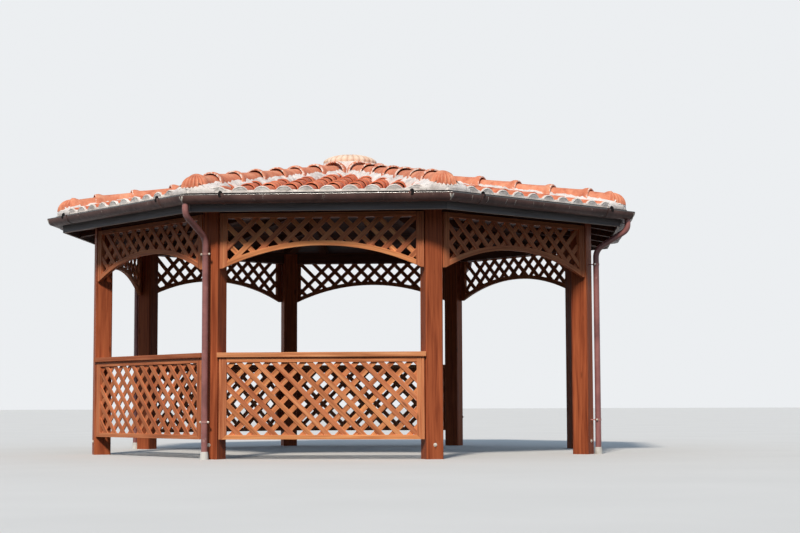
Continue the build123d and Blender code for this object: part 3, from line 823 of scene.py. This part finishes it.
def add_eave_mortar(n):
    """Plugs in the mouths of the eaves tiles and a line along the eave, fuller near the corners."""
    piece = Piece(place_bay(n))
    reach = TILE_REACH - 0.006
    half = reach * tan(HALF)
    line = MORTAR_LINE - 0.003
    columns = []
    for u in spaced(-half, half, EAVE_PARTS):
        cell = (u / COVER_SPACING) % 1.0 - 0.5
        x = cell * COVER_SPACING / (COVER_WIDTH / 2 - 0.001)
        body = sqrt(max(0.0, 1 - x * x))
        roll = COVER_BED + MOUTH_LIFT + (CROWN - 0.001) * body if body else 0.0
        corner = min(max((abs(u) - half + CORNER_FILL_LENGTH) / 0.1, 0.0), 1.0)
        bumps = uneven(u * 40, n * 7.0, 0.5) * 0.003
        top = max(MORTAR_LINE + CORNER_FILL * corner, roll) + bumps
        bulge = PLUG_BULGE * body + 0.5 * bumps
        column = []
        for level, out, tint in (
            (0.001, 0.0, 0.95),
            (line - 0.02, 0.003, 0.95),
            (line, 0.003, 0.95),
            (min(line + 0.004, top), bulge, 0.3),
            (top - 0.024, bulge, 0.3),
            (top - 0.012, bulge, 0.3),
            (top - 0.009, bulge + 0.003, 1.0),
            (top, bulge - 0.003, 1.0),
            (top + 0.12 * RISE * corner, -0.08 - 0.12 * corner, 0.6),
        ):
            grain = uneven(u * 60, level * 80, n * 3.0) * 0.004
            column.append(piece.point((u, deck_level(reach) + level, reach + out + grain), tint))
        columns.append(column)
    piece.skin(columns)
    piece.finish(f"eave_mortar_{BAYS[n]}", lime, smooth=60)


for bay in range(SIDES):
    add_eave_mortar(bay)


# Hips: mortar bed, ridge tiles and the fan-shaped end tile
HIP_START = 0.2
HIP_END = 3.13
HIP_PARTS = 150
HIP_LANES = (-1.05, -1.0, -0.82, -0.62, -0.4, -0.15, 0.15, 0.4, 0.62, 0.82, 1.0, 1.05)
HIP_MORTAR_HALF = 0.172
RIDGE_TILES = 7
RIDGE_STEPS = 16
RIDGE_LENGTH = 0.44
RIDGE_AXIS = 0.102
RIDGE_FOOT = 2.82
RIDGE_RADIUS = 0.108
LOWEST_RADIUS = 0.114
HIGHEST_RADIUS = 0.122
RIDGE_COLLAR = (
    (0.0, 0.018), (0.006, 0.021), (0.034, 0.023), (0.056, 0.018),
    (0.09, 0.003), (0.16, 0.0), (RIDGE_LENGTH, 0.0),
)
FAN_CENTRE = 3.045
FAN_RIBS = 11
FAN_HALF_ANGLE = radians(98)
FAN_STEPS = 110
FAN_ROWS = 12
FAN_REACH = 0.128
FAN_HEIGHT = 0.133
NECK_STEPS = 24
CORNER_WING = 0.27
CORNER_PARTS = 64
CORNER_PROFILE = (
    (0.0, 0.0), (0.3, 0.006), (0.62, 0.004), (0.85, -0.012), (1.0, -0.045), (1.07, -0.12), (1.1, -0.22),
)


def add_hip_mortar(n):
    """Rough bed under the ridge tiles, with a skirt that runs down into the tiles on both sides."""
    piece = Piece(place_corner(n))
    rows = []
    for r in spaced(HIP_START, HIP_END, HIP_PARTS):
        row = []
        for lane in HIP_LANES:
            side = 3.0 if lane > 0 else -3.0
            waves = 0.055 * uneven(r * 7.0, side, n * 5.0) + 0.035 * uneven(r * 30.0, side, n * 5.0)
            t = lane * (HIP_MORTAR_HALF + waves + max(0.0, 0.5 - r) * 0.1)
            height = 0.09 + 0.07 * (1 - abs(lane) ** 2.2) if abs(lane) <= 1.0 else 0.02
            height += 0.016 * uneven(r * 24.0, t * 24.0, n * 9.0)
            reach = r * cos(HALF) + abs(t) * sin(HALF)
            row.append(piece.point((r, t, deck_level(reach) + height)))
        rows.append(row)
    piece.skin(rows)
    piece.finish(f"hip_mortar_{n}", lime, smooth=50)


def add_ridge_tiles(n):
    """Ridge tiles that overlap uphill, each with a collar and an open mouth at its lower end."""
    piece = Piece(place_corner(n))
    lower = 0.035 if n == 0 else 0.0
    for k in range(RIDGE_TILES):
        foot = RIDGE_FOOT - EXPOSURE * k + jitter(0.01) - lower
        tint = random_tint(0.62, 0.2)
        swing = jitter(0.012)
        gape = random.uniform(0.008, 0.013)
        wide = {0: LOWEST_RADIUS, RIDGE_TILES - 1: HIGHEST_RADIUS}.get(k, RIDGE_RADIUS)
        rows = []
        for along, collar in RIDGE_COLLAR:
            share = along / RIDGE_LENGTH
            radius = wide - 0.012 * share
            axis = hip_level(foot - along) + RIDGE_AXIS + 0.006 * (1 - share)
            row = []
            for size in (radius + collar, radius + collar * 0.9 - gape):
                for i in range(RIDGE_STEPS + 1):
                    a = pi * (i / RIDGE_STEPS) * 1.06 - 0.03 * pi
                    t = cos(a) * size + swing * (1 - share)
                    edge = min(i, RIDGE_STEPS - i)
                    dust = (0.42, 0.42, 0.22)[edge] if edge < 3 else 0.0
                    at = (foot - along, t, axis + sin(a) * size * 0.92)
                    row.append(piece.point(at, tint, dust if along > 0.02 else 0.54))
            rows.append(row)
        piece.shell(rows)
    piece.finish(f"ridge_tiles_{n}", ridge_clay, smooth=45)


def add_fan_tile(n):
    """Half-round end tile with ribs that spread out and down over the corner, and the neck behind it."""
    piece = Piece(place_corner(n))
    base = hip_level(FAN_CENTRE) + 0.077
    rows = []
    for share in spaced(0.0, 1.0, FAN_ROWS):
        lean = share * pi / 2
        depth = min(1.0, share * 2.2)
        row = []
        for spread in spaced(-1.0, 1.0, FAN_STEPS):
            angle = FAN_HALF_ANGLE * spread
            wave = cos(FAN_RIBS * pi * (spread + 1))
            out = FAN_REACH * sin(lean) * (1 + 0.075 * wave * depth)
            up = FAN_HEIGHT * cos(lean) * (1 + 0.035 * wave * share)
            dust = 0.5 if share > 0.97 else (0.3 if share > 0.9 else 0.0)
            if wave < -0.5 and share > 0.6:
                dust += 0.1
            at = (FAN_CENTRE + cos(angle) * out * 1.08, sin(angle) * out, base + up)
            row.append(piece.point(at, 0.5 + 0.42 * wave * depth, dust))
        rows.append(row)
    piece.skin(rows)
    rows = []
    for r, swell in (
        (2.7, 0.0), (2.85, 0.0), (FAN_CENTRE - 0.07, 0.0),
        (FAN_CENTRE - 0.03, 0.02), (FAN_CENTRE, 0.026), (FAN_CENTRE + 0.02, 0.012),
    ):
        row = []
        for i in range(NECK_STEPS + 1):
            a = pi * i / NECK_STEPS
            dust = 0.45 if min(i, NECK_STEPS - i) < 2 else 0.0
            high = hip_level(r) + 0.098 + sin(a) * (0.103 + swell)
            row.append(piece.point((r, cos(a) * (0.106 + swell), high), 0.6, dust))
        rows.append(row)
    piece.skin(rows)
    piece.finish(f"fan_tile_{n}", ridge_clay, ["hip_ridges"], smooth=50)


def add_corner_mortar(n):
    """Lump of mortar that fills the corner under the fan tile and runs a little way along both eaves."""
    piece = Piece(place_corner(n))
    corner_r = (TILE_REACH + 0.002) / cos(HALF)
    base = deck_level(TILE_REACH + 0.001) + 0.046
    rows = []
    for s in spaced(-CORNER_WING, CORNER_WING, CORNER_PARTS):
        near = 1 - abs(s) / CORNER_WING
        rounding = max(0.0, 1 - abs(s) / 0.09)
        r0 = corner_r - abs(s) * sin(HALF) - 0.016 * rounding ** 2
        t0 = s * cos(HALF)
        outwards = cos(HALF) * (1 if abs(s) > 0.02 else 1.06)
        top = 0.088 + 0.032 * min(1.0, near * 2.2) ** 0.7
        bumps = uneven(s * 16.0, n * 4.0, 2.0) * 0.014
        row = []
        for share, out in CORNER_PROFILE:
            inward = out * (1.0 if share < 1.0 else 0.55 + 0.45 * near)
            dirt = uneven(s * 45.0, share * 6.0, n * 4.0) * 0.004
            r = r0 + (inward + dirt) * outwards
            z = base + (top - 0.044 + bumps * share) * share + max(0.0, -inward) * RISE
            row.append(piece.point((r, t0 * (1 + inward * 0.25), z)))
        rows.append(row)
    piece.skin(rows)
    piece.finish(f"corner_mortar_{n}", lime, smooth=60)


for corner in range(SIDES):
    add_hip_mortar(corner)
    add_ridge_tiles(corner)
    add_fan_tile(corner)
    add_corner_mortar(corner)


# Apex
CAP_FLUTES = 26
CAP_ROWS = 20
CAP_REACH = 0.298
CAP_RIM = 0.022
CAP_FLUTE_DEPTH = 0.009
DOME_SHARE = 0.94
APEX_STEPS = 120
cap_low, cap_high = (corner[2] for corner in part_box("apex_cap"))


def round_apex(radius, angle, z):
    return cos(angle) * radius, sin(angle) * radius, z


def add_cap():
    """Flat dome with fine flutes over an upright rim."""
    piece = Piece()
    rows = []
    for share in spaced(0.0, 1.0, CAP_ROWS):
        lean = min(1.0, share / DOME_SHARE) * pi / 2
        below = max(0.0, share - DOME_SHARE) / (1 - DOME_SHARE)
        radius = CAP_REACH * sin(lean) - 0.006 * below
        height = (cap_high - cap_low - CAP_RIM) * cos(lean) + CAP_RIM * (1 - below)
        row = []
        for angle in turns(CAP_FLUTES * 8):
            wave = abs(cos(CAP_FLUTES * angle / 2))
            depth = CAP_FLUTE_DEPTH * min(1.0, share * 3.0) * (1 - wave)
            out = radius * (1 - depth / CAP_REACH)
            z = cap_low + height - depth * (1 - share) * 1.2
            row.append(piece.point(round_apex(out, angle, z), 0.04 + 0.76 * wave))
        rows.append(row)
    piece.skin(rows, closed=True)
    piece.finish("fluted_cap", cap_clay, ["apex_cap"], smooth=50, weld=True)


def add_apex_mortar():
    """Mortar collar under the cap that runs down between the highest ridge tiles."""
    piece = Piece()
    rows = []
    profile = ((0.2, 0.0), (0.302, 0.002), (0.31, 0.016), (0.318, 0.05), (0.33, 0.1), (0.36, 0.19))
    for j, (size, drop) in enumerate(profile):
        row = []
        for angle in turns(APEX_STEPS):
            wobble = uneven(cos(angle) * 5, sin(angle) * 5, j * 0.7) * 0.02
            radius = size + (wobble if j > 1 else 0)
            z = cap_low + 0.004 - drop + (wobble * 0.3 if j else 0)
            row.append(piece.point(round_apex(radius, angle, z)))
        rows.append(row)
    piece.skin(rows, closed=True)
    piece.finish("apex_mortar", lime, ["apex_bed"], smooth=60)


add_cap()
add_apex_mortar()


# Rainwater pipes with rounded swan necks
PIPE_BEND = 0.13
BEND_PARTS = 8
PIPE_STEPS = 20
PIPE_HEAD = GUTTER_LIP - 0.062
PIPE_FOOT = 0.032


def bend_line(line, bend):
    """Points along a line with its corners bent to a radius, or to less where a side is short."""
    path = [line[0]]
    for a, b, c in zip(line, line[1:], line[2:]):
        before, after = (a - b).normalized(), (c - b).normalized()
        half_turn = (pi - before.angle(after)) / 2
        setback = min(bend * tan(half_turn), 0.48 * min((a - b).length, (c - b).length))
        radius = setback / tan(half_turn)
        centre = b + (before + after).normalized() * (radius / cos(half_turn))
        start, end = b + before * setback - centre, b + after * setback - centre
        for i in range(BEND_PARTS + 1):
            path.append(centre + start.lerp(end, i / BEND_PARTS).normalized() * radius)
    return path + [line[-1]]


def add_pipe(corner):
    piece = Piece(place_corner(corner))
    line = ((OUTLET, PIPE_HEAD), (OUTLET, NECK_TOP), (PIPE_AXIS, NECK_BOTTOM), (PIPE_AXIS, PIPE_FOOT))
    path = bend_line([Vector((r, 0, z)) for r, z in line], PIPE_BEND)
    side = Vector((0, 1, 0))
    rings = []
    for i, p in enumerate(path):
        ahead = (path[min(i + 1, len(path) - 1)] - path[max(i - 1, 0)]).normalized()
        out = side.cross(ahead).normalized()
        ring = []
        for a in turns(PIPE_STEPS):
            ring.append(piece.point(p + out * cos(a) * PIPE_RADIUS + side * sin(a) * PIPE_RADIUS))
        rings.append(ring)
    piece.skin(rings, closed=True)
    piece.finish(f"rain_pipe_{corner}", pipe_paint, ["rain_pipes"], smooth=60)


for corner in DRAINED:
    add_pipe(corner)


# Bolts through the posts' feet and on the pipes' bands
BOLT_HEIGHT = 0.134
WASHER = ((0.0, 0.018), (0.0025, 0.018), (0.003, 0.0174), (0.003, 0.0))
HEX_HEAD = ((0.003, 0.0115), (0.0095, 0.0115), (0.0108, 0.0098), (0.0108, 0.0))
DOME_HEAD = ((-0.002, 0.0115), (0.004, 0.0115), (0.0078, 0.009), (0.0096, 0.0045), (0.01, 0.0))
BAND_BOLT_ACROSS = 0.043


def add_head(piece, face, across, height, sides, rings):
    """Turned or hexagonal head on a face that looks out along a corner line."""
    rows = []
    for out, radius in rings:
        row = []
        for a in turns(sides, 0.3):
            row.append(piece.point((face + out, across + cos(a) * radius, height + sin(a) * radius)))
        rows.append(row)
    piece.skin(rows, closed=True)


def add_bolts():
    piece = Piece()
    for n in range(SIDES):
        piece.place = place_corner(n)
        add_head(piece, POST_FACE, 0, BOLT_HEIGHT, 20, WASHER)
        add_head(piece, POST_FACE, 0, BOLT_HEIGHT, 6, HEX_HEAD)
    piece.finish("foot_bolts", bolt_zinc, weld=True)


def add_band_bolts():
    piece = Piece()
    for n in DRAINED:
        piece.place = place_corner(n)
        for height in (LOWER_HOLDER, NECK_BOTTOM - UPPER_HOLDER_DROP):
            for across in (-BAND_BOLT_ACROSS, BAND_BOLT_ACROSS):
                add_head(piece, PIPE_AXIS + 0.003, across, height, 16, DOME_HEAD)
    piece.finish("band_bolts", bolt_zinc, smooth=50, weld=True)


add_bolts()
add_band_bolts()


# Rolled edge of the gutter, a dark strip behind it in the form of a flashing, and the clips over it; the
# edge's near-black paint and the strip are painted shade
CLIP_OUTLINE = (
    (-0.012, -0.02), (0.012, -0.02), (0.019, 0.0), (0.018, 0.026),
    (0.009, 0.038), (-0.009, 0.038), (-0.018, 0.026), (-0.019, 0.0),
)
CLIP_SHARE = 0.43
CLIP_SHIFTS = {1: 0.015, 7: -0.026}
CLIP_FACE = 3.0478
CLIP_BACK = 3.026
BEAD_REACH = 3.0372
BEAD_RADIUS = 0.0073
SHADE_STRIP_REACH = TILE_REACH + 0.0075
SHADE_STRIP_LEVEL = deck_level(TILE_REACH) + 0.034


def add_edge(name, material, reach, z, half_deep, half_high, count):
    """Bar all round the eave, with a section whose corners lie on an oval."""
    piece = Piece()
    for n in range(SIDES):
        piece.place = place_bay(n)
        rings = []
        for side in (-1, 1):
            ring = []
            for a in turns(count, 0.5):
                d = reach + cos(a) * half_deep
                ring.append(piece.point((side * d * tan(HALF), z + sin(a) * half_high, d)))
            rings.append(ring)
        piece.skin(rings, closed=True)
    piece.finish(name, material, smooth=60)


def add_clip_heads():
    """Heads of the gutter's clips over its lip, shifted in the two bays beside the front."""
    piece = Piece()
    for n in range(SIDES):
        piece.place = place_bay(n)
        for side in (-1, 1):
            u = (side * CLIP_SHARE + CLIP_SHIFTS.get(n, 0.0)) * BAY_LENGTH
            outline = [(u + x, GUTTER_LIP + z) for x, z in CLIP_OUTLINE]
            front = [piece.point((x, z, CLIP_FACE - 0.3 * max(z - GUTTER_LIP, 0.0))) for x, z in outline]
            piece.slab(front, [piece.point((x, z, CLIP_BACK)) for x, z in outline])
    piece.finish("clip_heads", bracket_paint, bevel=0.0015)


# The rolled edge's near-black paint and the dark strip under the eaves mortar are painted shade.
add_edge("gutter_bead", shaded_bead_paint, BEAD_REACH, GUTTER_LIP - 0.0002, BEAD_RADIUS, BEAD_RADIUS, 12)
add_edge("eave_shade_strip", bracket_paint, SHADE_STRIP_REACH, SHADE_STRIP_LEVEL, 0.004, 0.0205, 4)
add_clip_heads()


# Pale runs of dried sealant and lime on the gutter: place, width and sweep in degrees
RIGHT_FRONT_RUNS = (
    (-1.0, 0.006, 36), (-0.8, 0.007, 52), (-0.56, 0.004, 44), (-0.44, 0.006, 40),
    (-0.2, 0.003, 28), (-0.06, 0.004, 30), (0.3, 0.003, 22), (0.62, 0.003, 26),
)
MITRE_RUN_SWEEP = 60
RUN_PARTS = 8
RUN_LIFT = 0.0008


def gutter_runs():
    """A run at each end of a bay's gutter and a few between, listed one by one in the right front bay."""
    edge = (GUTTER_CENTRE + 0.07) * tan(HALF)
    runs = []
    for n in range(SIDES):
        runs.append((n, edge - 0.012, 0.014, MITRE_RUN_SWEEP))
        runs.append((n, -edge + 0.009, 0.018, MITRE_RUN_SWEEP))
        if n != 1:
            for _ in range(3):
                u, width = random.uniform(-1.1, 1.1), random.uniform(0.002, 0.004)
                runs.append((n, u, width, random.uniform(15, 40)))
    return runs + [(1, *run) for run in RIGHT_FRONT_RUNS]


def add_gutter_runs():
    piece = Piece()
    radius = GUTTER_RADIUS + RUN_LIFT
    for n, u, width, sweep in gutter_runs():
        piece.place = place_bay(n)
        rows = []
        for share in spaced(0.0, 1.0, RUN_PARTS):
            angle = radians(8 + sweep * share)
            half = width * (1.0 - 0.75 * share) / 2
            middle = u + 0.003 * sin(share * 5.0 + u * 9.0)
            reach = GUTTER_CENTRE + cos(angle) * radius
            z = GUTTER_LIP - sin(angle) * radius
            rows.append([piece.point((middle + aside, z, reach)) for aside in (-half, half)])
        piece.skin(rows)
    piece.finish("gutter_runs", streak_lime, smooth=60)


add_gutter_runs()


# Materials of the frame's own nodes
def dress(material, *names):
    for name in names:
        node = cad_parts[name]
        node.data.materials.clear()
        node.data.materials.append(material)


dress(post_wood, *[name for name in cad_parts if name.startswith("post_")])
dress(beam_wood, "ring_beams", "rafter_hub", "rafters")
dress(board_wood, "roof_boards")
dress(rafter_wood, "hip_rafters")
dress(rail_wood, "handrails")
dress(fascia_wood, "fascia_boards")
dress(gutter_paint, "gutter", "gutter_brackets")
dress(band_paint, "pipe_holders")
dress(socket_white, "drain_sockets")
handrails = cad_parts["handrails"]
handrails.modifiers.new("joined", "WELD").merge_threshold = 0.0001
wear_edges(handrails, 0.004)


# Floor, light and camera
FLOOR_HALF = 160.0
PHOTO_WIDTH = 800
SENSOR_WIDTH = 36.0
FOCAL_PIXELS = 1623.23
EYE = (1.8717, -17.7888, 0.5143)
YAW, PITCH, ROLL = -0.074, 0.0845, -0.0033


def add_floor():
    """Pale floor that sends little light back under the roof."""
    n = new_material("floor_paint")
    tone = n.noise(n.position(), 0.7, 2.0)
    paint = n.ramp(tone, (0.3, (0.69, 0.69, 0.68, 1.0)), (0.7, (0.72, 0.72, 0.71, 1.0)))
    n.put(n.shader.inputs["Base Color"], paint)
    n.put(n.shader.inputs["Roughness"], 0.9)
    bounce = n.add("BsdfDiffuse", {"Color": (0.07, 0.07, 0.07, 1.0)})
    n.by_ray(n.shader, bounce, "Material Output")
    mesh = bpy.data.meshes.new("floor")
    corners = [(x * FLOOR_HALF, y * FLOOR_HALF, 0) for x, y in ((-1, -1), (1, -1), (1, 1), (-1, 1))]
    mesh.from_pydata(corners, [], [(0, 1, 2, 3)])
    mesh.materials.append(n.owner)
    floor = new_object("floor", mesh)


def add_sky():
    """Pale backdrop that the camera sees, and soft light from the sky for the object."""
    world = bpy.data.worlds.new("studio")
    bpy.context.scene.world = world
    n = Nodes(world)
    height = n.split(n.add("TexCoord").outputs["Generated"])[2]
    light = n.tree.nodes["Background"]
    low, middle, high = (0.05, 0.06, 0.07, 1.0), (0.32, 0.45, 0.6, 1.0), (0.22, 0.3, 0.4, 1.0)
    sky = n.ramp(height, (0.1, low), (0.3, middle), (0.75, high))
    n.put(light.inputs["Color"], sky)
    n.put(light.inputs["Strength"], 1.0)
    backdrop = n.add("Background", {"Color": (0.84, 0.86, 0.88, 1.0), "Strength": 1.0})
    n.by_ray(backdrop, light, "World Output")


def add_sun():
    """Soft key light from high up in front, a little to the left."""
    lamp = bpy.data.lights.new("key", "SUN")
    lamp.energy = 3.3
    lamp.angle = radians(7.0)
    lamp.color = (1.0, 0.9, 0.78)
    sun = new_object("key", lamp)
    sun.rotation_euler = Vector((0.1, 0.745, -0.663)).to_track_quat("-Z", "Y").to_euler()


def add_camera():
    """Camera at the photo's eye point, turned and zoomed as there."""
    lens = bpy.data.cameras.new("photo_view")
    lens.sensor_width = SENSOR_WIDTH
    lens.lens = FOCAL_PIXELS / PHOTO_WIDTH * SENSOR_WIDTH
    lens.clip_end = 500.0
    camera = new_object("photo_view", lens)
    ahead = Vector((sin(YAW) * cos(PITCH), cos(YAW) * cos(PITCH), sin(PITCH)))
    level = Vector((cos(YAW), -sin(YAW), 0))
    above = level.cross(ahead)
    right = level * cos(ROLL) + above * sin(ROLL)
    up = above * cos(ROLL) - level * sin(ROLL)
    turn = Matrix((right, up, -ahead)).transposed()
    camera.matrix_world = Matrix.Translation(EYE) @ turn.to_4x4()
    bpy.context.scene.camera = camera


add_floor()
add_sky()
add_sun()
add_camera()
bpy.context.scene.view_settings.view_transform = "Standard"
